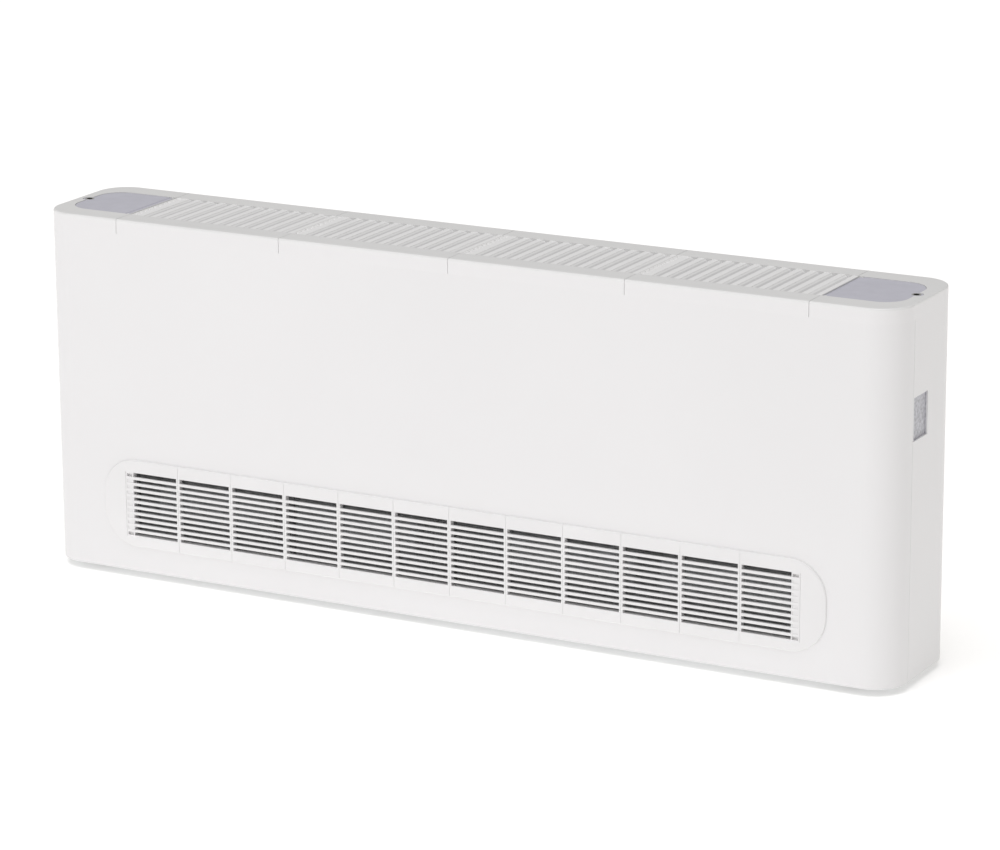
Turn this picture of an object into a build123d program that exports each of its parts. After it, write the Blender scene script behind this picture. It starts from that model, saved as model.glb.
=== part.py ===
"""Floor-standing fan convector heater, in millimetres.

Frame: origin at the middle of the footprint on the floor, +X along the length, front at -Y, +Z up.
Each piece is built where it sits in the closed, unlocked state and is exported on its own.
"""
import os
from math import cos, radians, sin

from build123d import *

os.makedirs("parts", exist_ok=True)

# overall sizes
WIDTH = 1240.0
DEPTH = 183.0
HEIGHT = 493.0
GRILLE_PROUD = 2.5
FOOT_H = 10.0
FRONT_R = 45.0
BACK_R = 41.0

# sheet casing
WALL = 2.0
SHEET = 1.5
SIDE_SEAM = 46.0
SEAM_GAP = 0.5
BACK_RETURN = 50.0
END_BAY = 115.0

# moulded top frame and its louvres
SKIRT = 20.0
TOP_T = 3.0
TOP_EDGE_R = 2.6
END_W = 120.0
MODULES = 4
MODULE_SEAM = 0.6
RIM = 34.0
LOUVRES = 12
LOUVRE_T = 2.0
LOUVRE_CHORD = 12.5
LOUVRE_TILT = 36.0
LOUVRE_DROP = 0.6
LOUVRE_LAP = 0.8
CAP_W = 9.0
COMB_W = 11.0
BAR_W = 7.0
COMB_HOLES = 10
COMB_D = 1.2

# access doors, hinged along their inner straight edge, with a cam lock at the outer end
DOOR_GAP = 0.6
DOOR_T = 3.0
DOOR_SINK = 0.5
DOOR_REST = 0.3
DOOR_LEN = 97.0
DOOR_HALF = 56.0
DOOR_R = 32.0
LEDGE = 5.0
LEDGE_T = 3.0
BEAD_R = 3.0
BEAD_HALF = 53.0
TROUGH = 0.7
AXIS_IN = 5.0
DOOR_EDGE = 4.2
PIN_R = 1.5
PIN_RUN = 0.05
LOCK_EAR = 8.5
KEYWAY_R = 4.0
KEYWAY_D = 2.0
LOCK_R = 5.0
LOCK_RUN = 0.05
CAM_T = 3.0
CAM_GAP = 0.7
CAM_LEN = 12.0
CAM_W = 8.0

# intake grille: one moulding cut into twelve sections, over a framed filter
SECTIONS = 12
GRILLE_IN = 5.0
INTAKE_MARGIN = 35.0
INTAKE_H = 121.0
INTAKE_Z = 105.0
INTAKE_R = 50.0
INTAKE_LIP = 7.0
INTAKE_GAP = 0.5
INTAKE_BACK = 6.0
INTAKE_EDGE_R = 2.0
SECTION_SEAM = 0.3
SLOT_ROWS = 11
SLOT_PITCH = 8.16
SLOT_H = 4.6
TOP_SLOT_H = 6.2
SLOT_END = 12.0
SLOT_TOP = 144.0
SLAT_T = 3.5
RIB = 5.0
GROOVE_W = 8.5
GROOVE_IN = 6.3
GROOVE_D = 0.8
NOTCH_D = 4.0
LINE_W = 0.7
FILTER_IN = 7.0
FILTER_H = 100.0
FILTER_T = 6.0
FILTER_BAR = 8.0
MESH_T = 1.0

# fans
FAN_Y = 10.75
FAN_Z = 95.0
SHAFT_R = 6.0
SHAFT_RUN = 0.05
WHEEL_R = 54.0
WHEEL_L = 170.0
WHEEL_X = (-375.0, -160.0, 160.0, 375.0)
BLADES = 24
SCROLL_R = 66.0
SCROLL_T = 2.0
SCROLL_GAP = 3.0
DUCT_D = 64.0
INLET_R = 50.0
MOTOR_R = 48.0
MOTOR_L = 112.0
DECK_Z = 188.0
BEARING_R = 16.0
BEARING_L = 30.0

# coil and tray
COIL_LEN = 220.0
COIL_T = 60.0
COIL_TILT = 31.0
COIL_Y = -2.0
COIL_END = 486.0
FINS = 48
FIN_T = 1.0
FRAME_T = 2.0
TUBE_R = 4.8
BEND_R = 10.0
HEADER_R = 16.0
SOCKET_R = 12.0
SOCKET_L = 20.0
HEADER_OUT = 30.0
HEADER_SPAN = 75.0
TRAY_H = 22.0
TRAY_D = 72.0
SPOUT_R = 8.0
SPOUT_BORE = 6.5
SPOUT_OUT = 40.0
SPOUT_COLLAR = 3.5

# controls
PANEL_DROP = 69.0
BOX_H = 44.0
BOX_HALF = 46.0
KNOB_R = 16.0
KNOB_H = 18.0
KNOB_Y = 26.0
SPINDLE_R = 3.0
SPINDLE_RUN = 0.05

# openings in the casing
WINDOW_Y = -20.25
WINDOW_W = 43.5
WINDOW_Z = 346.75
WINDOW_H = 55.5
WINDOW_LAP = 2.5
FIXING_X = 535.0
FIXING_Z = (190.0, 430.0)
FIXING_R = 4.5
PIPE_W = 50.0
PIPE_H = 120.0
PIPE_X = -540.0
PIPE_Z = 105.0
GLAND_X = 545.0
GLAND_Z = 60.0
GLAND_R = 8.0
GLAND_BORE = 5.0
FOOT_R = 15.0
FOOT_INSET = 66.0
FOOT_BACK = 43.0

# derived places
FRONT_Y = -(DEPTH + GRILLE_PROUD) / 2 + GRILLE_PROUD
BACK_Y = FRONT_Y + DEPTH
MID_Y = (FRONT_Y + BACK_Y) / 2
HALF = WIDTH / 2
BASE_Z = FOOT_H
SKIRT_Z = HEIGHT - SKIRT
MODULE = (WIDTH - 2 * END_W) / MODULES
END_X = HALF - END_W
BAY_X = HALF - END_BAY
IN_FRONT = FRONT_Y + WALL
IN_BACK = BACK_Y - WALL
SEAM_Y = FRONT_Y + SIDE_SEAM
AXIS_X = END_X + AXIS_IN
DOOR_TOP = HEIGHT - DOOR_SINK
DOOR_Z = DOOR_TOP - DOOR_T
AXIS_Z = DOOR_TOP - BEAD_R + 0.1
LEDGE_Z = DOOR_Z - DOOR_REST
LOCK_X = AXIS_X + DOOR_LEN
GRILLE_X = END_X - GRILLE_IN
PITCH = 2 * GRILLE_X / SECTIONS
INTAKE_HALF = GRILLE_X + INTAKE_MARGIN
FILTER_W = 2 * (GRILLE_X - FILTER_IN)
FRAME_BACK = FRONT_Y + INTAKE_BACK
COIL_Z = DECK_Z + SHEET + TRAY_H + 3 + (COIL_LEN * cos(radians(COIL_TILT))
                                         + COIL_T * sin(radians(COIL_TILT))) / 2
PANEL_Z = HEIGHT - PANEL_DROP
CONTROL_X = BAY_X + 42.0


def save(piece, node):
    piece.part.label = node
    export_step(piece.part, f"parts/{node}.step")


def block(x0, x1, y0, y1, z0, z1, mode=Mode.ADD):
    """A box between two corners."""
    with Locations(((x0 + x1) / 2, (y0 + y1) / 2, (z0 + z1) / 2)):
        Box(abs(x1 - x0), abs(y1 - y0), abs(z1 - z0), mode=mode)


def rod(x, y, z, r, length, axis="Z", mode=Mode.ADD):
    """A cylinder centred on a point, along X, Y or Z."""
    turn = {"X": (0, 90, 0), "Y": (90, 0, 0), "Z": (0, 0, 0)}[axis]
    with Locations(Location((x, y, z), turn)):
        Cylinder(r, length, mode=mode)


def plan(inset, z0, z1, mode=Mode.ADD):
    """The casing's outline in plan, brought in by inset and raised from z0 to z1."""
    with BuildSketch(Plane.XY.offset(z0)) as outline:
        with Locations((0, MID_Y)):
            Rectangle(WIDTH - 2 * inset, DEPTH - 2 * inset)
        fillet(outline.vertices().group_by(Axis.Y)[0], FRONT_R - inset)
        fillet(outline.vertices().group_by(Axis.Y)[-1], BACK_R - inset)
    extrude(outline.sketch, amount=z1 - z0, mode=mode)


def pill(inset, y0, y1, mode=Mode.ADD):
    """The intake grille's outline on the front, brought in by inset, between two depths."""
    with BuildSketch(Plane.XZ.offset(-y1)) as outline:
        with Locations((0, INTAKE_Z)):
            RectangleRounded(2 * (INTAKE_HALF - inset), INTAKE_H - 2 * inset, INTAKE_R - inset)
    extrude(outline.sketch, amount=y1 - y0, mode=mode)


def door_shape(side, grow, x_from, z0, z1, mode=Mode.ADD):
    """The door's D outline with the lock's ear, grown by a margin."""
    x0 = side * x_from
    x1 = side * (LOCK_X + grow)
    with BuildSketch(Plane.XY.offset(z0)) as lid:
        with Locations(((x0 + x1) / 2, MID_Y)):
            Rectangle(abs(x1 - x0), 2 * (DOOR_HALF + grow))
        fillet(lid.vertices().group_by(Axis.X)[-1 if side > 0 else 0], DOOR_R + grow)
        with Locations((side * LOCK_X, MID_Y)):
            Circle(LOCK_EAR + grow)
    extrude(lid.sketch, amount=z1 - z0, mode=mode)


# ---- casing -------------------------------------------------------------------------------

# front panel: front sheet with both rounded corners and the cut-out for the intake
with BuildPart() as front_panel:
    plan(0, BASE_Z, SKIRT_Z)
    plan(WALL, BASE_Z, SKIRT_Z, Mode.SUBTRACT)
    block(-HALF, HALF, FRONT_Y - 1, SEAM_Y, BASE_Z, SKIRT_Z, Mode.INTERSECT)
    pill(INTAKE_LIP, FRONT_Y - 1, IN_FRONT + 1, Mode.SUBTRACT)
save(front_panel, "front_panel")

# side panels: side, rounded rear corner and a return along the back
for side, name in ((-1, "left"), (1, "right")):
    with BuildPart() as side_panel:
        plan(0, BASE_Z, SKIRT_Z)
        plan(WALL, BASE_Z, SKIRT_Z, Mode.SUBTRACT)
        block(side * (HALF - BACK_RETURN), side * (HALF + 1), SEAM_Y + SEAM_GAP, BACK_Y + 1,
              BASE_Z, SKIRT_Z, Mode.INTERSECT)
        if side > 0:
            block(HALF - WALL - 1, HALF + 1, WINDOW_Y - WINDOW_W / 2, WINDOW_Y + WINDOW_W / 2,
                  WINDOW_Z - WINDOW_H / 2, WINDOW_Z + WINDOW_H / 2, Mode.SUBTRACT)
    save(side_panel, f"side_panel_{name}")

# blank plate behind the window of the right side
with BuildPart() as side_window_plate:
    block(HALF - WALL - 3.5, HALF - WALL,
          WINDOW_Y - WINDOW_W / 2 - WINDOW_LAP, WINDOW_Y + WINDOW_W / 2 + WINDOW_LAP,
          WINDOW_Z - WINDOW_H / 2 - WINDOW_LAP, WINDOW_Z + WINDOW_H / 2 + WINDOW_LAP)
    block(HALF - WALL - 1.5, HALF - WALL, WINDOW_Y - WINDOW_W / 2, WINDOW_Y + WINDOW_W / 2,
          WINDOW_Z - WINDOW_H / 2, WINDOW_Z + WINDOW_H / 2, Mode.SUBTRACT)
save(side_window_plate, "side_window_plate")

# back plate: wall fixings, pipe cut-out and cable hole
BACK_X = HALF - BACK_RETURN - SEAM_GAP
with BuildPart() as back_plate:
    block(-BACK_X, BACK_X, IN_BACK, BACK_Y, BASE_Z, SKIRT_Z)
    for x in (-FIXING_X, FIXING_X):
        for z in FIXING_Z:
            rod(x, BACK_Y, z, FIXING_R, 4 * WALL, "Y", Mode.SUBTRACT)
    block(PIPE_X - PIPE_W / 2, PIPE_X + PIPE_W / 2, IN_BACK - 1, BACK_Y + 1,
          PIPE_Z - PIPE_H / 2, PIPE_Z + PIPE_H / 2, Mode.SUBTRACT)
    rod(GLAND_X, BACK_Y, GLAND_Z, GLAND_R, 4 * WALL, "Y", Mode.SUBTRACT)
save(back_plate, "back_plate")

# grommet in the cable hole
with BuildPart() as cable_gland:
    rod(GLAND_X, BACK_Y - 4.5, GLAND_Z, GLAND_R, 9, "Y")
    rod(GLAND_X, IN_BACK - 1.5, GLAND_Z, GLAND_R + 3, 3, "Y")
    rod(GLAND_X, BACK_Y - 4.5, GLAND_Z, GLAND_BORE, 12, "Y", Mode.SUBTRACT)
save(cable_gland, "cable_gland")

# base pan inside the casing
with BuildPart() as base_pan:
    plan(WALL, BASE_Z, BASE_Z + SHEET)
save(base_pan, "base_pan")

# round feet under the base pan
with BuildPart() as feet:
    for side in (-1, 1):
        for y in (FRONT_Y + FOOT_BACK, BACK_Y - FOOT_BACK):
            rod(side * (HALF - FOOT_INSET), y, FOOT_H / 2, FOOT_R, FOOT_H)
    chamfer(feet.edges().group_by(Axis.Z)[0], 1.5)
save(feet, "feet")

# ---- coil geometry shared with the chassis --------------------------------------------------
coil_plane = Plane(origin=(0, COIL_Y, COIL_Z), x_dir=(1, 0, 0), z_dir=(0, -sin(radians(90 + COIL_TILT)),
                                                                     -cos(radians(90 + COIL_TILT))))
UP = (sin(radians(COIL_TILT)), cos(radians(COIL_TILT)))
header_at = [(COIL_Y + s * HEADER_SPAN * UP[0], COIL_Z + s * HEADER_SPAN * UP[1]) for s in (-1, 1)]
TRAY_Z = DECK_Z + SHEET
SPOUT_Y = FRONT_Y + 34
SPOUT_Z = TRAY_Z + SHEET + SPOUT_R + 1.5

# chassis ends: sheets that part the end bays from the air path
for side, name in ((-1, "left"), (1, "right")):
    with BuildPart() as chassis_end:
        block(side * (BAY_X - SHEET), side * BAY_X, FRONT_Y + 9, IN_BACK,
              BASE_Z + SHEET, SKIRT_Z - 6)
        if side < 0:
            for y, z in header_at:
                rod(-BAY_X, y, z, HEADER_R + 0.3, 8, "X", Mode.SUBTRACT)
            rod(-BAY_X, SPOUT_Y, SPOUT_Z, SPOUT_R + 2.3, 8, "X", Mode.SUBTRACT)
    save(chassis_end, f"chassis_end_{name}")

# ---- moulded top ----------------------------------------------------------------------------

# louvred outlet grilles: rim with front and rear skirts, comb strip, tilted louvres
with BuildPart() as top_rim:
    plan(0, SKIRT_Z, HEIGHT)
    fillet(top_rim.faces().sort_by(Axis.Z)[-1].edges(), TOP_EDGE_R)
    plan(TOP_T, SKIRT_Z - 1, HEIGHT - TOP_T, Mode.SUBTRACT)

tilt = radians(LOUVRE_TILT)
LOUVRE_STEP = (MODULE - MODULE_SEAM - COMB_W - BAR_W) / LOUVRES
for k in range(MODULES):
    x0 = -END_X + k * MODULE + MODULE_SEAM / 2
    x1 = x0 + MODULE - MODULE_SEAM
    a, b = x0 + COMB_W, x1 - BAR_W
    y0, y1 = FRONT_Y + RIM, BACK_Y - RIM
    with BuildPart() as outlet_grille:
        add(top_rim.part)
        block(x0, x1, FRONT_Y - 1, BACK_Y + 1, SKIRT_Z, HEIGHT + 1, Mode.INTERSECT)
        block(x0, x1, y0 - TOP_T, y1 + TOP_T, SKIRT_Z + 3, HEIGHT - 1)
        block(a, b, y0, y1, SKIRT_Z, HEIGHT + 1, Mode.SUBTRACT)
        with Locations(((x0 + x1) / 2, MID_Y, HEIGHT)):
            Box(x1 - x0 + 2, y1 - y0, 2 * LOUVRE_DROP, mode=Mode.SUBTRACT)
        with Locations((x0 + COMB_W / 2, MID_Y, HEIGHT - LOUVRE_DROP)):
            with GridLocations(1, (y1 - y0) / COMB_HOLES, 1, COMB_HOLES):
                Box(COMB_W - 5, 5, 2 * COMB_D, mode=Mode.SUBTRACT)
        for n in range(LOUVRES):
            x = a + n * LOUVRE_STEP
            cap_z = HEIGHT - LOUVRE_DROP
            block(x, x + CAP_W, y0 - 1, y1 + 1, cap_z - LOUVRE_T, cap_z)
            run, fall = LOUVRE_CHORD * cos(tilt) / 2, LOUVRE_CHORD * sin(tilt) / 2
            at = (x + CAP_W + run - LOUVRE_LAP, MID_Y, cap_z - LOUVRE_T / 2 - fall)
            with Locations(Location(at, (0, LOUVRE_TILT, 0))):
                Box(LOUVRE_CHORD, y1 - y0 + 2, LOUVRE_T)
    save(outlet_grille, f"outlet_grille_{k + 1}")

# top ends: rim with the door's recess, ledge, hinge lugs and trough
for side, name in ((-1, "left"), (1, "right")):
    x_in = END_X + MODULE_SEAM / 2
    with BuildPart() as top_end:
        add(top_rim.part)
        block(side * x_in, side * (HALF + 1), FRONT_Y - 1, BACK_Y + 1, SKIRT_Z, HEIGHT + 1,
              Mode.INTERSECT)
        block(side * x_in, side * (AXIS_X + 4), MID_Y - DOOR_HALF - 4, MID_Y + DOOR_HALF + 4,
              LEDGE_Z - LEDGE_T - 4, HEIGHT - 1)
        door_shape(side, 3.5, END_X + 2, LEDGE_Z - LEDGE_T, HEIGHT - 1)
        door_shape(side, DOOR_GAP, AXIS_X - BEAD_R - TROUGH, LEDGE_Z, HEIGHT + 1, Mode.SUBTRACT)
        door_shape(side, -LEDGE, AXIS_X + BEAD_R + TROUGH, LEDGE_Z - 12, HEIGHT, Mode.SUBTRACT)
        rod(side * LOCK_X, MID_Y, LEDGE_Z, LOCK_EAR - 0.9, 20, "Z", Mode.SUBTRACT)
        for end in (-1, 1):
            y_mid = MID_Y + end * (BEAD_HALF + 0.3 + (DOOR_HALF - BEAD_HALF - 0.3) / 2)
            lug = DOOR_HALF - BEAD_HALF - 0.3
            rod(side * AXIS_X, y_mid, AXIS_Z, BEAD_R + 0.3, lug, "Y")
            block(side * (AXIS_X - BEAD_R - TROUGH), side * (AXIS_X + BEAD_R + 0.3),
                  y_mid - lug / 2, y_mid + lug / 2, LEDGE_Z - LEDGE_T - 2, AXIS_Z)
        rod(side * AXIS_X, MID_Y, AXIS_Z, BEAD_R + TROUGH, 2 * BEAD_HALF + 0.6, "Y", Mode.SUBTRACT)
        rod(side * AXIS_X, MID_Y, AXIS_Z, PIN_R + PIN_RUN, 2 * DOOR_HALF, "Y", Mode.SUBTRACT)
    save(top_end, f"top_end_{name}")

    # flat door with its hinge bead and the lock's bore
    with BuildPart() as door:
        door_shape(side, 0, AXIS_X + DOOR_EDGE, DOOR_Z, DOOR_TOP)
        block(side * AXIS_X, side * (AXIS_X + DOOR_EDGE + 1), MID_Y - BEAD_HALF, MID_Y + BEAD_HALF,
              DOOR_Z, DOOR_TOP - 0.4)
        rod(side * AXIS_X, MID_Y, AXIS_Z, BEAD_R, 2 * BEAD_HALF, "Y")
        rod(side * AXIS_X, MID_Y, AXIS_Z, PIN_R + PIN_RUN, 3 * BEAD_HALF, "Y", Mode.SUBTRACT)
        rod(side * LOCK_X, MID_Y, DOOR_Z, LOCK_R + LOCK_RUN, 10, "Z", Mode.SUBTRACT)
    save(door, f"access_door_{name}")

    with BuildPart() as door_pin:
        rod(side * AXIS_X, MID_Y, AXIS_Z, PIN_R, 2 * DOOR_HALF - 0.6, "Y")
    save(door_pin, f"door_pin_{name}")

    # quarter-turn lock: head, plug and a cam below the ledge, pointing inward when unlocked
    cam_top = LEDGE_Z - LEDGE_T - CAM_GAP
    with BuildPart() as lock:
        rod(side * LOCK_X, MID_Y, (DOOR_TOP + cam_top - CAM_T) / 2, LOCK_R,
            DOOR_TOP - cam_top + CAM_T)
        rod(side * LOCK_X, MID_Y, (DOOR_TOP + HEIGHT) / 2, LOCK_R + 1.2, HEIGHT - DOOR_TOP)
        block(side * LOCK_X, side * (LOCK_X - CAM_LEN), MID_Y - CAM_W / 2, MID_Y + CAM_W / 2,
              cam_top - CAM_T, cam_top)
        rod(side * LOCK_X, MID_Y, HEIGHT, KEYWAY_R, 2 * KEYWAY_D, "Z", Mode.SUBTRACT)
        block(side * LOCK_X - 0.8, side * LOCK_X + 0.8, MID_Y - 3, MID_Y + 3,
              HEIGHT - KEYWAY_D - 2, HEIGHT + 1, Mode.SUBTRACT)
    save(lock, f"lock_{name}")

# ---- intake grille and filter ---------------------------------------------------------------
SLOT_MID = SLOT_TOP - SLOT_PITCH * (SLOT_ROWS - 1) / 2
with BuildPart() as intake:
    pill(0, FRONT_Y - GRILLE_PROUD, FRONT_Y)
    fillet(intake.faces().sort_by(Axis.Y)[0].edges(), INTAKE_EDGE_R)
    pill(INTAKE_LIP + INTAKE_GAP, FRONT_Y, FRAME_BACK)
    with BuildSketch(Plane.XZ.offset(-FRAME_BACK)) as slots:
        with Locations((0, SLOT_MID)):
            with GridLocations(PITCH, SLOT_PITCH, SECTIONS, SLOT_ROWS):
                Rectangle(PITCH - RIB, SLOT_H)
        with Locations((0, SLOT_TOP + (TOP_SLOT_H - SLOT_H) / 2)):
            with GridLocations(PITCH, 1, SECTIONS, 1):
                Rectangle(PITCH - RIB, TOP_SLOT_H)
        with Locations((0, SLOT_MID)):
            Rectangle(2 * (GRILLE_X - SLOT_END), INTAKE_H, mode=Mode.INTERSECT)
    extrude(slots.sketch, amount=INTAKE_BACK + GRILLE_PROUD, mode=Mode.SUBTRACT)
    # the slats are thin: a pocket behind each section leaves the ribs and the edge at full depth
    with BuildSketch(Plane.XZ.offset(-FRAME_BACK)) as pockets:
        with Locations((0, SLOT_MID)):
            with GridLocations(PITCH, 1, SECTIONS, 1):
                Rectangle(PITCH - RIB, SLOT_PITCH * (SLOT_ROWS - 1) + SLOT_H)
            Rectangle(2 * (GRILLE_X - SLOT_END), INTAKE_H, mode=Mode.INTERSECT)
    extrude(pockets.sketch, amount=INTAKE_BACK + GRILLE_PROUD - SLAT_T, mode=Mode.SUBTRACT)
    for deep, pitch, count in ((GROOVE_D, SLOT_PITCH, SLOT_ROWS),
                               (NOTCH_D, SLOT_PITCH * (SLOT_ROWS - 1), 2)):
        with BuildSketch(Plane.XZ.offset(GRILLE_PROUD - FRONT_Y - deep)) as grooves:
            with Locations((0, SLOT_MID)):
                with GridLocations(2 * (GRILLE_X - GROOVE_IN), pitch, 2, count):
                    Rectangle(GROOVE_W, SLOT_H)
        extrude(grooves.sketch, amount=deep, mode=Mode.SUBTRACT)
    for end in (-1, 1):
        block(end * GRILLE_X - LINE_W / 2, end * GRILLE_X + LINE_W / 2, FRONT_Y - GRILLE_PROUD - 1,
              FRONT_Y - GRILLE_PROUD + LINE_W, SLOT_MID - SLOT_PITCH * SLOT_ROWS / 2,
              SLOT_MID + SLOT_PITCH * SLOT_ROWS / 2, Mode.SUBTRACT)

for k in range(SECTIONS):
    x0 = -GRILLE_X + k * PITCH + (SECTION_SEAM / 2 if k else -INTAKE_MARGIN)
    x1 = -GRILLE_X + (k + 1) * PITCH + (-SECTION_SEAM / 2 if k < SECTIONS - 1 else INTAKE_MARGIN)
    with BuildPart() as intake_section:
        add(intake.part)
        block(x0, x1, FRONT_Y - GRILLE_PROUD - 1, FRAME_BACK + 1,
              INTAKE_Z - INTAKE_H, INTAKE_Z + INTAKE_H, Mode.INTERSECT)
    save(intake_section, f"intake_section_{k + 1:02d}")

FILTER_Z = INTAKE_Z - FILTER_H / 2
with BuildPart() as filter_frame:
    block(-FILTER_W / 2, FILTER_W / 2, FRAME_BACK, FRAME_BACK + FILTER_T, FILTER_Z, FILTER_Z + FILTER_H)
    bay = (FILTER_W - 5 * FILTER_BAR) / 4
    with Locations((0, FRAME_BACK + FILTER_T / 2, INTAKE_Z)):
        with GridLocations(bay + FILTER_BAR, 1, 4, 1):
            Box(bay, FILTER_T + 2, FILTER_H - 2 * FILTER_BAR, mode=Mode.SUBTRACT)
save(filter_frame, "filter_frame")

with BuildPart() as filter_mesh:
    with Locations((0, FRAME_BACK + FILTER_T / 2, INTAKE_Z)):
        with GridLocations(bay + FILTER_BAR, 1, 4, 1):
            Box(bay, MESH_T, FILTER_H - 2 * FILTER_BAR)
save(filter_mesh, "filter_mesh")

# ---- fans -----------------------------------------------------------------------------------
BEARING_IN = BAY_X - SHEET - BEARING_L
with BuildPart() as fan_shaft:
    rod(0, FAN_Y, FAN_Z, SHAFT_R, 2 * (BEARING_IN + 14), "X")
save(fan_shaft, "fan_shaft")

for n, x in enumerate(WHEEL_X):
    with BuildPart() as fan_wheel:
        rod(x, FAN_Y, FAN_Z, WHEEL_R, 2, "X")
        rod(x, FAN_Y, FAN_Z, 2 * SHAFT_R, 24, "X")
        for end in (-1, 1):
            rod(x + end * (WHEEL_L / 2 - 1), FAN_Y, FAN_Z, WHEEL_R, 2, "X")
            rod(x + end * (WHEEL_L / 2 - 1), FAN_Y, FAN_Z, WHEEL_R - 10, 2, "X", Mode.SUBTRACT)
        with Locations(Location((x, FAN_Y, FAN_Z), (0, 90, 0))):
            with PolarLocations(WHEEL_R - 5.5, BLADES):
                Box(8, 1.2, WHEEL_L)
        rod(x, FAN_Y, FAN_Z, SHAFT_R, 40, "X", Mode.SUBTRACT)
    save(fan_wheel, f"fan_wheel_{n + 1}")

outer = SCROLL_R + SCROLL_T
length = WHEEL_L + 2 * (SCROLL_GAP + SCROLL_T)
with BuildPart() as fan_scrolls:
    for x in WHEEL_X:
        rod(x, FAN_Y, FAN_Z, outer, length, "X")
        block(x - length / 2, x + length / 2, FAN_Y + outer - DUCT_D - 2 * SCROLL_T, FAN_Y + outer,
              FAN_Z, DECK_Z)
        rod(x, FAN_Y, FAN_Z, SCROLL_R, length - 2 * SCROLL_T, "X", Mode.SUBTRACT)
        block(x - length / 2 + SCROLL_T, x + length / 2 - SCROLL_T,
              FAN_Y + SCROLL_R - DUCT_D, FAN_Y + SCROLL_R, FAN_Z, DECK_Z + 1, Mode.SUBTRACT)
        rod(x, FAN_Y, FAN_Z, INLET_R, length + 2, "X", Mode.SUBTRACT)
save(fan_scrolls, "fan_scrolls")

with BuildPart() as fan_deck:
    block(-(BAY_X - SHEET), BAY_X - SHEET, FRONT_Y + 9, IN_BACK, DECK_Z, DECK_Z + SHEET)
    for x in WHEEL_X:
        block(x - WHEEL_L / 2, x + WHEEL_L / 2, FAN_Y + SCROLL_R - DUCT_D, FAN_Y + SCROLL_R,
              DECK_Z - 1, DECK_Z + SHEET + 1, Mode.SUBTRACT)
save(fan_deck, "fan_deck")

with BuildPart() as fan_motor:
    rod(0, FAN_Y, FAN_Z, MOTOR_R, MOTOR_L - 16, "X")
    rod(0, FAN_Y, FAN_Z, MOTOR_R - 10, MOTOR_L, "X")
    rod(0, FAN_Y, FAN_Z, SHAFT_R + SHAFT_RUN, MOTOR_L + 2, "X", Mode.SUBTRACT)
save(fan_motor, "fan_motor")

with BuildPart() as motor_cradle:
    for end in (-1, 1):
        block(end * MOTOR_L / 2, end * (MOTOR_L / 2 + SHEET), FAN_Y - 40, FAN_Y + 40,
              FAN_Z - 40, DECK_Z)
    rod(0, FAN_Y, FAN_Z, SHAFT_R + 4, MOTOR_L + 10, "X", Mode.SUBTRACT)
save(motor_cradle, "motor_cradle")

with BuildPart() as shaft_bearings:
    for end in (-1, 1):
        rod(end * (BEARING_IN + BEARING_L / 2), FAN_Y, FAN_Z, BEARING_R, BEARING_L, "X")
        rod(end * (BEARING_IN + 7.5), FAN_Y, FAN_Z, SHAFT_R + SHAFT_RUN, 17, "X", Mode.SUBTRACT)
save(shaft_bearings, "shaft_bearings")

# ---- coil -----------------------------------------------------------------------------------
COIL_IN = COIL_END - FRAME_T
with BuildPart() as coil_fins:
    with Locations(Location((0, COIL_Y, COIL_Z), (-COIL_TILT, 0, 0))):
        with GridLocations(2 * COIL_IN / FINS, 1, FINS, 1):
            Box(FIN_T, COIL_T - 2, COIL_LEN)
save(coil_fins, "coil_fins")

with BuildPart() as coil_frame:
    with Locations(Location((0, COIL_Y, COIL_Z), (-COIL_TILT, 0, 0))):
        with Locations((0, 0, (COIL_LEN + FRAME_T) / 2), (0, 0, -(COIL_LEN + FRAME_T) / 2)):
            Box(2 * (BAY_X - SHEET), COIL_T, FRAME_T)
        with Locations((COIL_END - FRAME_T / 2, 0, 0), (-COIL_END + FRAME_T / 2, 0, 0)):
            Box(FRAME_T, COIL_T, COIL_LEN)
save(coil_frame, "coil_frame")

with BuildPart() as return_bends:
    with Locations(Location((COIL_END, COIL_Y, COIL_Z), (-COIL_TILT, 0, 0))):
        with GridLocations(1, 30, 1, 2):
            with Locations((0, 0, -75), (0, 0, -25), (0, 0, 25), (0, 0, 75)):
                with Locations(Location((0, 0, 0), (90, 0, 0))):
                    Torus(BEND_R, TUBE_R)
    block(COIL_END, COIL_END + 30, COIL_Y - 200, COIL_Y + 200, COIL_Z - 200, COIL_Z + 200,
          Mode.INTERSECT)
save(return_bends, "return_bends")

with BuildPart() as coil_headers:
    mouth = BAY_X + HEADER_OUT
    for y, z in header_at:
        rod(-(COIL_END + mouth) / 2, y, z, HEADER_R, mouth - COIL_END, "X")
        rod(-(mouth - SOCKET_L / 2), y, z, SOCKET_R, SOCKET_L, "X", Mode.SUBTRACT)
save(coil_headers, "coil_headers")

with BuildPart() as air_vent:
    vy, vz = header_at[1]
    with BuildSketch(Plane.XY.offset(vz + HEADER_R - 0.2)):
        with Locations((-(BAY_X + 8), vy)):
            RegularPolygon(5.5, 6)
    extrude(amount=8)
    rod(-(BAY_X + 8), vy, vz + HEADER_R + 11, 3, 8)
    rod(-HALF / 2, vy, vz, HEADER_R, HALF, "X", Mode.SUBTRACT)
save(air_vent, "air_vent")

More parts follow.
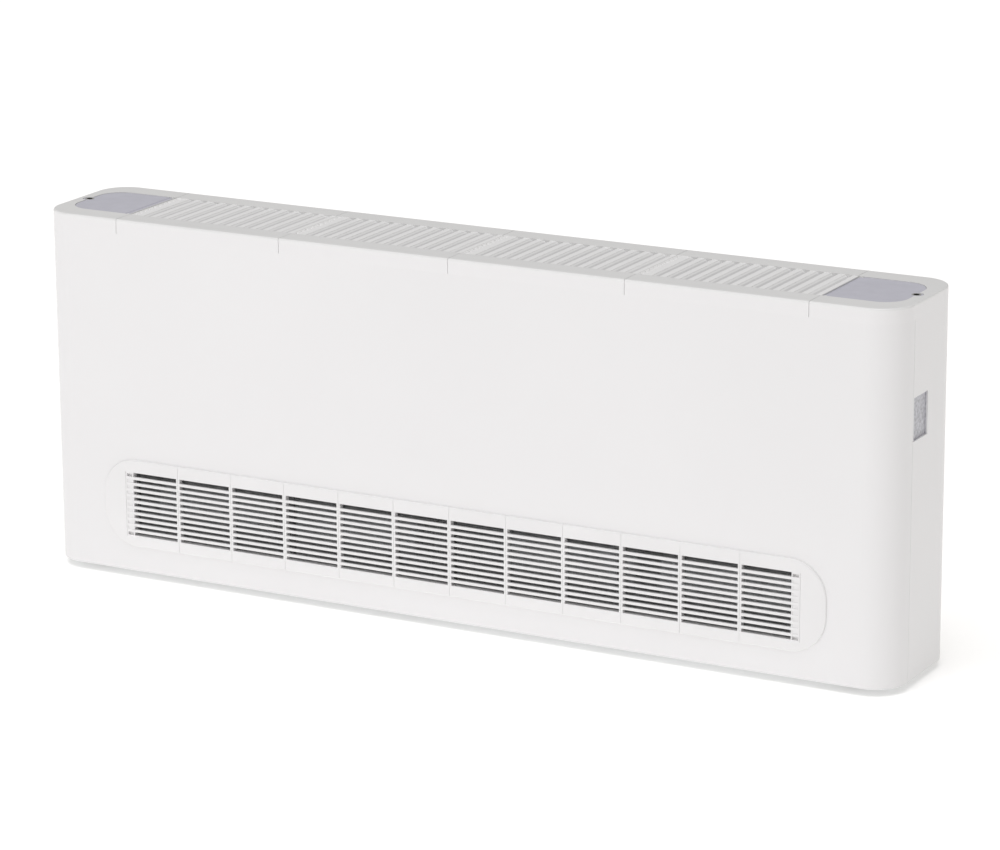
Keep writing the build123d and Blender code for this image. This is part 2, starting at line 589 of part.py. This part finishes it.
with BuildPart() as drip_tray:
    x1 = BAY_X - SHEET
    block(-x1, x1, FRONT_Y + 9, FRONT_Y + 9 + TRAY_D, TRAY_Z, TRAY_Z + TRAY_H)
    block(-x1 + SHEET, x1 - SHEET, FRONT_Y + 9 + SHEET, FRONT_Y + 9 + TRAY_D - SHEET,
          TRAY_Z + SHEET, TRAY_Z + TRAY_H + 1, Mode.SUBTRACT)
    rod(-(x1 + SPOUT_OUT / 2), SPOUT_Y, SPOUT_Z, SPOUT_R, SPOUT_OUT, "X")
    rod(-(x1 + SPOUT_COLLAR / 2), SPOUT_Y, SPOUT_Z, SPOUT_R + 2, SPOUT_COLLAR, "X")
    rod(-(x1 + SPOUT_OUT / 2), SPOUT_Y, SPOUT_Z, SPOUT_BORE, SPOUT_OUT + 8, "X", Mode.SUBTRACT)
save(drip_tray, "drip_tray")

# ---- controls under the right door ----------------------------------------------------------
BOX_X = BAY_X + 85
with BuildPart() as control_box:
    block(BAY_X, BOX_X, MID_Y - BOX_HALF, MID_Y + BOX_HALF, PANEL_Z - BOX_H, PANEL_Z)
    block(BAY_X + SHEET, BOX_X - SHEET, MID_Y - BOX_HALF + SHEET, MID_Y + BOX_HALF - SHEET,
          PANEL_Z - BOX_H + SHEET, PANEL_Z + 1, Mode.SUBTRACT)
save(control_box, "control_box")

with BuildPart() as control_panel:
    block(BAY_X, BOX_X, MID_Y - BOX_HALF, MID_Y + BOX_HALF, PANEL_Z, PANEL_Z + SHEET)
    fillet(control_panel.edges().filter_by(Axis.Z), 4)
    for end in (-1, 1):
        rod(CONTROL_X, MID_Y + end * KNOB_Y, PANEL_Z, SPINDLE_R + 1, 10, "Z", Mode.SUBTRACT)
save(control_panel, "control_panel")

for end, name in ((-1, "speed"), (1, "thermostat")):
    y = MID_Y + end * KNOB_Y
    with BuildPart() as knob:
        z0 = PANEL_Z + SHEET + 0.5
        rod(CONTROL_X, y, z0 + KNOB_H / 2, KNOB_R, KNOB_H)
        chamfer(knob.edges().group_by(Axis.Z)[-1], 1.5)
        block(CONTROL_X - 1.5, CONTROL_X + 1.5, y - KNOB_R + 3, y, z0 + KNOB_H, z0 + KNOB_H + 1.5)
        rod(CONTROL_X, y, z0 - 8, SPINDLE_R, 17)
    save(knob, f"{name}_knob")
    with BuildPart() as control_switch:
        block(CONTROL_X - 16, CONTROL_X + 16, y - 16, y + 16, PANEL_Z - 26, PANEL_Z)
        rod(CONTROL_X, y, PANEL_Z, SPINDLE_R + SPINDLE_RUN, 40, "Z", Mode.SUBTRACT)
    save(control_switch, f"{name}_switch")
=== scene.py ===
import math

import bmesh
import bpy
from mathutils import Matrix, Vector


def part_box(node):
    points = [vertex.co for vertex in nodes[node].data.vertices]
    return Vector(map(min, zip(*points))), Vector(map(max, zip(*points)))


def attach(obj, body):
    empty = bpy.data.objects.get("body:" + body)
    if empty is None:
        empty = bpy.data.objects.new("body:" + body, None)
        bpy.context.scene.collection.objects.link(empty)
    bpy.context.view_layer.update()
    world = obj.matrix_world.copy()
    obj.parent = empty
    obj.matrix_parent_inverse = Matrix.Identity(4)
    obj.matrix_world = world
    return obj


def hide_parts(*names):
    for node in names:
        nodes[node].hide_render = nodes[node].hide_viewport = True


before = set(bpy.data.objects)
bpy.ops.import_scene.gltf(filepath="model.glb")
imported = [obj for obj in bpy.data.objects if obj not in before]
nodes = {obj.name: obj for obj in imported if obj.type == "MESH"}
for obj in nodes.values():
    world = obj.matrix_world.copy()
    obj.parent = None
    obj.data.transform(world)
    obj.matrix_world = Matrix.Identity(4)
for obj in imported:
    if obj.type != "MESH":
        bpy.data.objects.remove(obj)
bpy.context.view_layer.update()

# Casing: one folded front sheet with rounded corners and two side sheets, in white powder coat.
# The coat is smooth with a very fine orange peel and a slight drift in gloss.


def finish(name, colour, rough, drift=0.02, patch=5.0, grain=900.0, depth=0.00004,
           stretch=(1, 1, 1), metal=0.0, coat=0.0, gloss=0.5, low=None):
    """A procedural finish: colour drift in soft patches, uneven gloss and a fine relief."""
    mat = bpy.data.materials.new(name)
    mat.use_nodes = True
    tree = mat.node_tree
    skin = tree.nodes["Principled BSDF"]
    skin.inputs["Metallic"].default_value = metal
    skin.inputs["Coat Weight"].default_value = coat
    skin.inputs["Specular IOR Level"].default_value = gloss
    place = tree.nodes.new("ShaderNodeTexCoord")
    turn = tree.nodes.new("ShaderNodeMapping")
    turn.inputs["Scale"].default_value = stretch
    tree.links.new(place.outputs["Object"], turn.inputs["Vector"])

    def noise(scale, detail):
        n = tree.nodes.new("ShaderNodeTexNoise")
        n.inputs["Scale"].default_value = scale
        n.inputs["Detail"].default_value = detail
        tree.links.new(turn.outputs["Vector"], n.inputs["Vector"])
        return n.outputs["Fac"]

    broad = noise(patch, 4)
    ramp = tree.nodes.new("ShaderNodeValToRGB")
    dark = low or tuple(c * (1 - drift * 2) for c in colour)
    light = tuple(min(1.0, c * (1 + drift)) for c in colour)
    ramp.color_ramp.elements[0].position, ramp.color_ramp.elements[1].position = 0.3, 0.7
    ramp.color_ramp.elements[0].color = (*dark, 1)
    ramp.color_ramp.elements[1].color = (*light, 1)
    tree.links.new(broad, ramp.inputs["Fac"])
    tree.links.new(ramp.outputs["Color"], skin.inputs["Base Color"])
    spread = tree.nodes.new("ShaderNodeMapRange")
    spread.inputs["To Min"].default_value = max(0.03, rough - 0.06)
    spread.inputs["To Max"].default_value = min(1.0, rough + 0.06)
    tree.links.new(noise(patch * 7, 3), spread.inputs["Value"])
    tree.links.new(spread.outputs["Result"], skin.inputs["Roughness"])
    relief = tree.nodes.new("ShaderNodeBump")
    relief.inputs["Strength"].default_value = 0.6
    relief.inputs["Distance"].default_value = depth
    tree.links.new(noise(grain, 2), relief.inputs["Height"])
    tree.links.new(relief.outputs["Normal"], skin.inputs["Normal"])
    return mat


def dress(mat, *names):
    """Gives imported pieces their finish."""
    for name in names:
        data = nodes[name].data
        if not data.materials:
            data.materials.append(mat)
        for i in range(len(data.materials)):
            data.materials[i] = mat


powder_coat = finish("powder_coat_white", (0.845, 0.838, 0.842), 0.32, drift=0.006, patch=3.0,
                     grain=1400.0, depth=0.00002, gloss=0.5)
dress(powder_coat, "front_panel", "side_panel_left", "side_panel_right")

# Top frame: six white mouldings, two door ends and four louvred outlets, snapped over the
# casing's edge. The plastic has a fine spark-eroded grain.
top_moulding = finish("top_moulding_white", (0.83, 0.83, 0.825), 0.33, drift=0.01, patch=8.0,
                      grain=2200.0, depth=0.00003)


def zone(mat, colour, axes, limits, soft=0.0004):
    """Gives another colour where each named coordinate's size is under its limit."""
    tree = mat.node_tree
    skin = tree.nodes["Principled BSDF"]
    base = skin.inputs["Base Color"].links[0].from_socket
    place = tree.nodes.new("ShaderNodeTexCoord")
    parts = tree.nodes.new("ShaderNodeSeparateXYZ")
    tree.links.new(place.outputs["Object"], parts.inputs["Vector"])
    share = None
    for axis, (middle, limit) in zip(axes, limits):
        off = tree.nodes.new("ShaderNodeMath")
        off.operation = "SUBTRACT"
        off.inputs[1].default_value = middle
        tree.links.new(parts.outputs[axis], off.inputs[0])
        size = tree.nodes.new("ShaderNodeMath")
        size.operation = "ABSOLUTE"
        tree.links.new(off.outputs["Value"], size.inputs[0])
        edge = tree.nodes.new("ShaderNodeMapRange")
        edge.inputs["From Min"].default_value = limit + soft
        edge.inputs["From Max"].default_value = limit - soft
        tree.links.new(size.outputs["Value"], edge.inputs["Value"])
        if share is None:
            share = edge.outputs["Result"]
            continue
        both = tree.nodes.new("ShaderNodeMath")
        both.operation = "MULTIPLY"
        tree.links.new(share, both.inputs[0])
        tree.links.new(edge.outputs["Result"], both.inputs[1])
        share = both.outputs["Value"]
    mix = tree.nodes.new("ShaderNodeMix")
    mix.data_type = "RGBA"
    for plug in mix.inputs:
        if plug.name == "B" and plug.type == "RGBA":
            plug.default_value = (*colour, 1)
        if plug.name == "A" and plug.type == "RGBA":
            tree.links.new(base, plug)
        if plug.name == "Factor" and plug.type == "VALUE" and plug.enabled:
            tree.links.new(share, plug)
    result = [o for o in mix.outputs if o.type == "RGBA"][0]
    tree.links.new(result, skin.inputs["Base Color"])


# The skirt is toned to the sheet below it. On the louvres, painted shade darkens the falls and a
# painted highlight lightens the flat caps, so the caps are lighter than their falls.
lo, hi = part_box("top_end_left")
END_CLEAR, RIM_WIDTH, CAP_HIGHLIGHT_DEPTH, EDGE_ROUND = 0.001, 0.0343, 0.0025, 0.003
louvre_painted_light_area = ((0, abs(hi[0]) - END_CLEAR), ((lo[1] + hi[1]) / 2, (hi[1] - lo[1]) / 2 - RIM_WIDTH))
zone(top_moulding, (0.845, 0.838, 0.842), "Z", ((lo[2], hi[2] - EDGE_ROUND - lo[2]),))
# Painted shade: the louvres' falls are coloured darker than the rest of the moulding.
zone(top_moulding, (0.76, 0.758, 0.758), "XY", louvre_painted_light_area)
# Painted highlight: the top few millimetres of the louvres, their flat caps, are coloured lighter
# than the moulding.
zone(top_moulding, (0.94, 0.938, 0.935), "XYZ", (*louvre_painted_light_area, (hi[2], CAP_HIGHLIGHT_DEPTH)))
dress(top_moulding, "top_end_left", "top_end_right", *[f"outlet_grille_{k}" for k in range(1, 5)])

# Intake grille: twelve white slotted sections clipped side by side into the front sheet.
# Same kind of plastic as the top, a little rougher.
intake_moulding = finish("intake_moulding_white", (0.84, 0.834, 0.836), 0.36, drift=0.01,
                         patch=10.0, grain=2200.0, depth=0.00003)
dress(intake_moulding, *[f"intake_section_{k:02d}" for k in range(1, 13)])

# Access doors: flat blue-grey lids on a hinge bead, each with a quarter-turn cam lock.
# Moulded plastic with a faint mottle; the locks are plated steel, with painted shade, near-black,
# inside each keyway.
door_plastic = finish("door_plastic_blue_grey", (0.58, 0.578, 0.645), 0.45, drift=0.02, patch=60.0,
                      grain=2600.0, depth=0.00004)
dress(door_plastic, "access_door_left", "access_door_right")
plated_steel = finish("plated_steel", (0.66, 0.66, 0.65), 0.22, drift=0.03, patch=40.0,
                      grain=900.0, depth=0.00001, metal=1.0)
dress(plated_steel, "door_pin_left", "door_pin_right")
HEAD_R, KEYWAY_R, KEYWAY_MID, KEYWAY_HALF = 0.0062, 0.0041, 0.0022, 0.0018
for side in ("left", "right"):
    lo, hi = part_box("lock_" + side)
    bright = finish("lock_steel_" + side, (0.72, 0.72, 0.71), 0.2, drift=0.03, patch=40.0,
                    grain=900.0, depth=0.00001, metal=0.85)
    x = (1 if side == "right" else -1) * (max(abs(lo[0]), abs(hi[0])) - HEAD_R)
    keyway_painted_shade = ((x, KEYWAY_R), ((lo[1] + hi[1]) / 2, KEYWAY_R), (hi[2] - KEYWAY_MID, KEYWAY_HALF))
    # Painted shade: the keyway slot is coloured near-black where it lies in shade.
    zone(bright, (0.012, 0.012, 0.013), "XYZ", keyway_painted_shade, soft=0.0001)
    dress(bright, "lock_" + side)

# Side window: a blank blue-grey plate set behind a rectangular cut in the right sheet.
# Matt plastic with a cloudy mottle.
window_plastic = finish("window_plate_mottled", (0.59, 0.59, 0.63), 0.5, drift=0.15, patch=260.0,
                        grain=2600.0, depth=0.00005)
dress(window_plastic, "side_window_plate")

# Chassis: zinc-coated sheet, used for the back, base, bay walls, deck, scrolls and cradle.
# Rolled sheet shows long faint streaks along its length.
zinc_sheet = finish("zinc_coated_sheet", (0.60, 0.62, 0.64), 0.38, drift=0.06, patch=30.0,
                    grain=300.0, depth=0.00003, stretch=(0.25, 1, 1), metal=0.9)
dress(zinc_sheet, "base_pan", "chassis_end_left", "chassis_end_right", "fan_deck", "fan_scrolls",
      "motor_cradle", "coil_frame", "control_box")
back_coat = finish("powder_coat_back", (0.80, 0.805, 0.80), 0.42, drift=0.012, patch=4.0,
                   grain=1100.0, depth=0.00003)
dress(back_coat, "back_plate")

# Feet and cable grommet: black rubber, slightly dusty.
rubber = finish("black_rubber", (0.035, 0.035, 0.036), 0.75, drift=0.2, patch=60.0,
                grain=1500.0, depth=0.00006)
dress(rubber, "feet", "cable_gland")

# Filter: a dark grey plastic frame that rides behind the intake, holding woven mesh in four bays.
# The threads are drawn row by row in both directions.
filter_plastic = finish("filter_frame_grey", (0.13, 0.13, 0.132), 0.55, drift=0.1, patch=30.0,
                        grain=2000.0, depth=0.00004)
dress(filter_plastic, "filter_frame")
mesh_thread = finish("filter_thread_grey", (0.30, 0.30, 0.305), 0.7, drift=0.15, patch=120.0,
                     grain=3000.0, depth=0.00002)


def row_tree(name):
    """Repeats the object's own mesh along a row, and the row along a second direction."""
    tree = bpy.data.node_groups.new(name, "GeometryNodeTree")
    face = tree.interface
    face.new_socket("Geometry", in_out="INPUT", socket_type="NodeSocketGeometry")
    for label, kind in (("Count", "Int"), ("Start", "Vector"), ("Step", "Vector"),
                        ("Rows", "Int"), ("Row Step", "Vector"), ("Finish", "Material")):
        face.new_socket(label, in_out="INPUT", socket_type="NodeSocket" + kind)
    face.new_socket("Geometry", in_out="OUTPUT", socket_type="NodeSocketGeometry")
    source, out = tree.nodes.new("NodeGroupInput"), tree.nodes.new("NodeGroupOutput")
    shape = source.outputs["Geometry"]
    for count, start, step in (("Count", "Start", "Step"), ("Rows", None, "Row Step")):
        line = tree.nodes.new("GeometryNodeMeshLine")
        line.mode = "OFFSET"
        tree.links.new(source.outputs[count], line.inputs["Count"])
        tree.links.new(source.outputs[step], line.inputs["Offset"])
        if start:
            tree.links.new(source.outputs[start], line.inputs["Start Location"])
        copies = tree.nodes.new("GeometryNodeInstanceOnPoints")
        tree.links.new(line.outputs["Mesh"], copies.inputs["Points"])
        tree.links.new(shape, copies.inputs["Instance"])
        real = tree.nodes.new("GeometryNodeRealizeInstances")
        tree.links.new(copies.outputs["Instances"], real.inputs["Geometry"])
        shape = real.outputs["Geometry"]
    paint = tree.nodes.new("GeometryNodeSetMaterial")
    tree.links.new(shape, paint.inputs["Geometry"])
    tree.links.new(source.outputs["Finish"], paint.inputs["Material"])
    tree.links.new(paint.outputs["Geometry"], out.inputs["Geometry"])
    return tree


def grown(name, seed, tree, values, mat, body):
    """Runs a tree over a seed mesh and keeps the result as a plain mesh riding on a body."""
    maker = bpy.data.objects.new(name + "_seed", seed)
    bpy.context.scene.collection.objects.link(maker)
    mod = maker.modifiers.new("grow", "NODES")
    mod.node_group = tree
    for item in tree.interface.items_tree:
        if item.in_out == "INPUT" and item.name in values:
            mod[item.identifier] = values[item.name]
    evaluated = maker.evaluated_get(bpy.context.evaluated_depsgraph_get())
    mesh = bpy.data.meshes.new_from_object(evaluated)
    mesh.name = name
    maker.modifiers.remove(mod)
    bpy.data.objects.remove(maker)
    piece = bpy.data.objects.new(name, mesh)
    bpy.context.scene.collection.objects.link(piece)
    if not mesh.materials:
        mesh.materials.append(mat)
    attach(piece, body)
    return piece


def bar(name, size, turn=None):
    """A small bar's mesh about the origin."""
    bm = bmesh.new()
    bmesh.ops.create_cube(bm, size=1.0, matrix=Matrix.Diagonal((*size, 1)))
    if turn:
        bm.transform(turn)
    mesh = bpy.data.meshes.new(name)
    bm.to_mesh(mesh)
    bm.free()
    return mesh


rows = row_tree("repeat_in_rows")
lo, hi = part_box("filter_mesh")
mid_y = (lo[1] + hi[1]) / 2
THREAD, WEAVE = 0.0006, 0.0024
across = int((hi[0] - lo[0]) / WEAVE)
down = int((hi[2] - lo[2]) / WEAVE)
warp = grown("filter_warp", bar("thread_up", (THREAD, THREAD, hi[2] - lo[2])), rows,
             {"Count": across, "Start": (lo[0] + WEAVE / 2, mid_y, (lo[2] + hi[2]) / 2),
              "Step": (WEAVE, 0, 0), "Rows": 1, "Row Step": (0, 0, 0), "Finish": mesh_thread},
             mesh_thread, "intake")
weft = grown("filter_weft", bar("thread_along", (hi[0] - lo[0], THREAD, THREAD)), rows,
             {"Count": down, "Start": ((lo[0] + hi[0]) / 2, mid_y + THREAD, lo[2] + WEAVE / 2),
              "Step": (0, 0, WEAVE), "Rows": 1, "Row Step": (0, 0, 0), "Finish": mesh_thread},
             mesh_thread, "intake")
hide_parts("filter_mesh")

# Fans: four black squirrel-cage wheels on one ground steel shaft, driven by a grey motor in
# the middle and held by a bearing at each end.
wheel_plastic = finish("fan_wheel_black", (0.03, 0.03, 0.032), 0.5, drift=0.1, patch=40.0,
                       grain=1500.0, depth=0.00003)
dress(wheel_plastic, *[f"fan_wheel_{k}" for k in range(1, 5)])
shaft_steel = finish("ground_shaft_steel", (0.62, 0.62, 0.62), 0.2, drift=0.03, patch=20.0,
                     grain=2000.0, depth=0.00001, stretch=(0.05, 1, 1), metal=1.0)
dress(shaft_steel, "fan_shaft", "shaft_bearings")
motor_paint = finish("motor_paint_grey", (0.16, 0.17, 0.185), 0.42, drift=0.05, patch=30.0,
                     grain=900.0, depth=0.00006)
dress(motor_paint, "fan_motor")

# Coil: thin aluminium fins packed on copper tubes, with return bends on the right and two
# brass pipe sockets on the left. The fins are repeated along the length.
fin_metal = finish("fin_aluminium", (0.78, 0.79, 0.80), 0.33, drift=0.04, patch=50.0,
                   grain=500.0, depth=0.00002, metal=1.0)
copper = finish("tube_copper", (0.62, 0.30, 0.17), 0.3, drift=0.08, patch=60.0,
                grain=700.0, depth=0.00002, metal=1.0)
brass = finish("fitting_brass", (0.66, 0.50, 0.24), 0.3, drift=0.06, patch=60.0,
               grain=900.0, depth=0.00003, metal=1.0)
dress(copper, "return_bends")
dress(brass, "coil_headers", "air_vent")
dress(fin_metal, "coil_fins")
lo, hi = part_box("coil_fins")
TILT, FIN_LONG, FIN_DEEP, FIN_PITCH = math.radians(-31), 0.220, 0.058, 0.004
fins = int((hi[0] - lo[0]) / FIN_PITCH)
fin = bar("fin", (0.0004, FIN_DEEP, FIN_LONG), Matrix.Rotation(TILT, 4, "X"))
fin_pack = grown("coil_fin_pack", fin, rows,
                 {"Count": fins, "Start": (lo[0] + 0.001, (lo[1] + hi[1]) / 2, (lo[2] + hi[2]) / 2),
                  "Step": (FIN_PITCH, 0, 0), "Rows": 1, "Row Step": (0, 0, 0),
                  "Finish": fin_metal}, fin_metal, "casing")
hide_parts("coil_fins")

# Drip tray: black moulded tray below the coil, with a hose spout into the left bay.
tray_plastic = finish("tray_black", (0.045, 0.046, 0.048), 0.45, drift=0.1, patch=20.0,
                      grain=1300.0, depth=0.00005)
dress(tray_plastic, "drip_tray")

# Controls under the right door: white panel, two ribbed black knobs and their switches.
# The grips are repeated around each knob; printed ticks run round it on the panel.
panel_plastic = finish("panel_white", (0.80, 0.80, 0.79), 0.4, drift=0.012, patch=20.0,
                       grain=2200.0, depth=0.00003)
knob_plastic = finish("knob_black", (0.03, 0.03, 0.032), 0.38, drift=0.1, patch=60.0,
                      grain=2600.0, depth=0.00004)
switch_plastic = finish("switch_ivory", (0.66, 0.64, 0.58), 0.5, drift=0.04, patch=60.0,
                        grain=1600.0, depth=0.00003)
dress(panel_plastic, "control_panel")
dress(knob_plastic, "speed_knob", "thermostat_knob")
dress(switch_plastic, "speed_switch", "thermostat_switch")
tick_ink = finish("tick_ink", (0.05, 0.05, 0.055), 0.6, drift=0.1, patch=90.0)


def ring_tree(name):
    """Repeats the object's own mesh round a vertical axis, each copy turned to face out."""
    tree = bpy.data.node_groups.new(name, "GeometryNodeTree")
    face = tree.interface
    face.new_socket("Geometry", in_out="INPUT", socket_type="NodeSocketGeometry")
    for label, kind in (("Count", "Int"), ("Sweep", "Float"), ("From", "Float"),
                        ("Centre", "Vector"), ("Finish", "Material")):
        face.new_socket(label, in_out="INPUT", socket_type="NodeSocket" + kind)
    face.new_socket("Geometry", in_out="OUTPUT", socket_type="NodeSocketGeometry")
    source, out = tree.nodes.new("NodeGroupInput"), tree.nodes.new("NodeGroupOutput")
    line = tree.nodes.new("GeometryNodeMeshLine")
    line.mode = "OFFSET"
    line.inputs["Offset"].default_value = (0, 0, 0)
    tree.links.new(source.outputs["Count"], line.inputs["Count"])
    tree.links.new(source.outputs["Centre"], line.inputs["Start Location"])
    index = tree.nodes.new("GeometryNodeInputIndex")
    angle = tree.nodes.new("ShaderNodeMath")
    angle.operation = "MULTIPLY_ADD"
    tree.links.new(index.outputs["Index"], angle.inputs[0])
    tree.links.new(source.outputs["Sweep"], angle.inputs[1])
    tree.links.new(source.outputs["From"], angle.inputs[2])
    spin = tree.nodes.new("ShaderNodeCombineXYZ")
    tree.links.new(angle.outputs["Value"], spin.inputs["Z"])
    copies = tree.nodes.new("GeometryNodeInstanceOnPoints")
    tree.links.new(line.outputs["Mesh"], copies.inputs["Points"])
    tree.links.new(source.outputs["Geometry"], copies.inputs["Instance"])
    tree.links.new(spin.outputs["Vector"], copies.inputs["Rotation"])
    real = tree.nodes.new("GeometryNodeRealizeInstances")
    paint = tree.nodes.new("GeometryNodeSetMaterial")
    tree.links.new(copies.outputs["Instances"], real.inputs["Geometry"])
    tree.links.new(real.outputs["Geometry"], paint.inputs["Geometry"])
    tree.links.new(source.outputs["Finish"], paint.inputs["Material"])
    tree.links.new(paint.outputs["Geometry"], out.inputs["Geometry"])
    return tree


rings = ring_tree("repeat_round_axis")
panel_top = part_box("control_panel")[1][2]
for kind, body, ticks in (("speed", "speed_dial", 4), ("thermostat", "thermostat_dial", 10)):
    lo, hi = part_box(kind + "_knob")
    centre = Vector(((lo[0] + hi[0]) / 2, (lo[1] + hi[1]) / 2, 0))
    radius = (hi[0] - lo[0]) / 2
    low, high = panel_top + 0.0025, hi[2] - 0.005
    rib = bar("rib", (0.0008, 0.0012, high - low),
              Matrix.Translation((radius, 0, (low + high) / 2)))
    grip = grown(kind + "_knob_grip", rib, rings,
                 {"Count": 30, "Sweep": math.tau / 30, "From": 0.0, "Centre": tuple(centre),
                  "Finish": knob_plastic}, knob_plastic, body)
    tick = bar("tick", (0.004, 0.0008, 0.0002),
               Matrix.Translation((radius + 0.004, 0, panel_top + 0.0001)))
    span = math.radians(135 if kind == "speed" else 270)
    marks = grown(kind + "_dial_marks", tick, rings,
                  {"Count": ticks, "Sweep": -span / (ticks - 1), "From": -math.pi / 2,
                   "Centre": tuple(centre), "Finish": tick_ink}, tick_ink, "casing")

# Screws: countersunk zinc-plated heads along both edges of the back plate, set flush.
# One head with a cross recess is made once and repeated up each edge.
bm = bmesh.new()
RIM_R, PROUD, DIP, SINK, SIDES = 0.0042, 0.0003, 0.0012, -0.002, 24
rim = [bm.verts.new((RIM_R * math.cos(a * math.tau / SIDES), PROUD,
                     RIM_R * math.sin(a * math.tau / SIDES))) for a in range(SIDES)]
foot = [bm.verts.new((v.co.x * 0.5, SINK, v.co.z * 0.5)) for v in rim]
arm, w = 0.0024, 0.0005
cross = [(w, w), (arm, w), (arm, -w), (w, -w), (w, -arm), (-w, -arm), (-w, -w), (-arm, -w),
         (-arm, w), (-w, w), (-w, arm), (w, arm)]
top = [bm.verts.new((x, PROUD, z)) for x, z in cross]
pit = [bm.verts.new((x * 0.7, PROUD - DIP, z * 0.7)) for x, z in cross]
for i in range(SIDES):
    bm.faces.new((rim[i], rim[(i + 1) % SIDES], foot[(i + 1) % SIDES], foot[i]))
for i in range(len(cross)):
    n = (i + 1) % len(cross)
    bm.faces.new((top[i], top[n], pit[n], pit[i]))
bm.faces.new(pit)
bm.faces.new(foot)
edges = [e for e in bm.edges if len(e.link_faces) == 1]
bmesh.ops.triangle_fill(bm, use_beauty=True, edges=edges)
bmesh.ops.recalc_face_normals(bm, faces=bm.faces)
head = bpy.data.meshes.new("screw_head")
bm.to_mesh(head)
bm.free()
lo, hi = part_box("back_plate")
PER_EDGE, EDGE_IN, END_IN = 4, 0.008, 0.03
screws = grown("back_screws", head, rows,
               {"Count": PER_EDGE, "Start": (lo[0] + EDGE_IN, hi[1], lo[2] + END_IN),
                "Step": (0, 0, (hi[2] - lo[2] - 2 * END_IN) / (PER_EDGE - 1)), "Rows": 2,
                "Row Step": (hi[0] - lo[0] - 2 * EDGE_IN, 0, 0), "Finish": plated_steel},
               plated_steel, "casing")

# Studio: a pale floor, an even sky, a broad lamp in front of the heater and one above it.
bpy.ops.mesh.primitive_plane_add(size=60.0)
floor = bpy.context.object
floor.name = "floor"
floor_white = finish("floor_white", (0.93, 0.93, 0.93), 0.9, drift=0.004, patch=0.5, grain=60.0,
                     depth=0.00001, gloss=0.1)
glow = floor_white.node_tree.nodes["Principled BSDF"]
glow.inputs["Emission Color"].default_value = (1, 0.985, 0.955, 1)
glow.inputs["Emission Strength"].default_value = 0.36
floor.data.materials.append(floor_white)
scene = bpy.context.scene
scene.view_settings.view_transform = "Standard"
sky = bpy.data.worlds.new("studio_sky")
sky.use_nodes = True
sky.node_tree.nodes["Background"].inputs["Color"].default_value = (1, 0.98, 0.945, 1)
sky.node_tree.nodes["Background"].inputs["Strength"].default_value = 0.36
scene.world = sky


def lamp(name, place, aim, size, power):
    light = bpy.data.lights.new(name, "AREA")
    light.shape, light.size, light.energy = "SQUARE", size, power
    light.color = (0.97, 0.97, 1.0)
    holder = bpy.data.objects.new(name, light)
    holder.location = place
    holder.rotation_euler = (Vector(aim) - Vector(place)).to_track_quat("-Z", "Y").to_euler()
    scene.collection.objects.link(holder)


lamp("front_lamp", (-1.2, -4.0, 1.9), (-0.1, 0, 0.25), 1.8, 25)
high = bpy.data.lights.new("overhead_softbox", "SUN")
high.energy, high.angle, high.color = 1.45, math.radians(50), (0.97, 0.972, 1.0)
overhead = bpy.data.objects.new("overhead_softbox", high)
overhead.rotation_euler = Vector((0, 0.27, -1)).to_track_quat("-Z", "Y").to_euler()
scene.collection.objects.link(overhead)

# Camera: long lens to the right of the front, looking down a little.
eye = bpy.data.cameras.new("camera")
eye.lens, eye.sensor_width, eye.clip_end = 151.3, 36.0, 100.0
camera = bpy.data.objects.new("camera", eye)
right = Vector((0.88066812, 0.47370353, -0.00534952))
up = Vector((-0.12166513, 0.23707381, 0.96384314))
back = right.cross(up)
camera.matrix_world = Matrix((
    (right.x, up.x, back.x, 2.51725), (right.y, up.y, back.y, -4.61607),
    (right.z, up.z, back.z, 1.70546), (0, 0, 0, 1)))
scene.collection.objects.link(camera)
scene.camera = camera
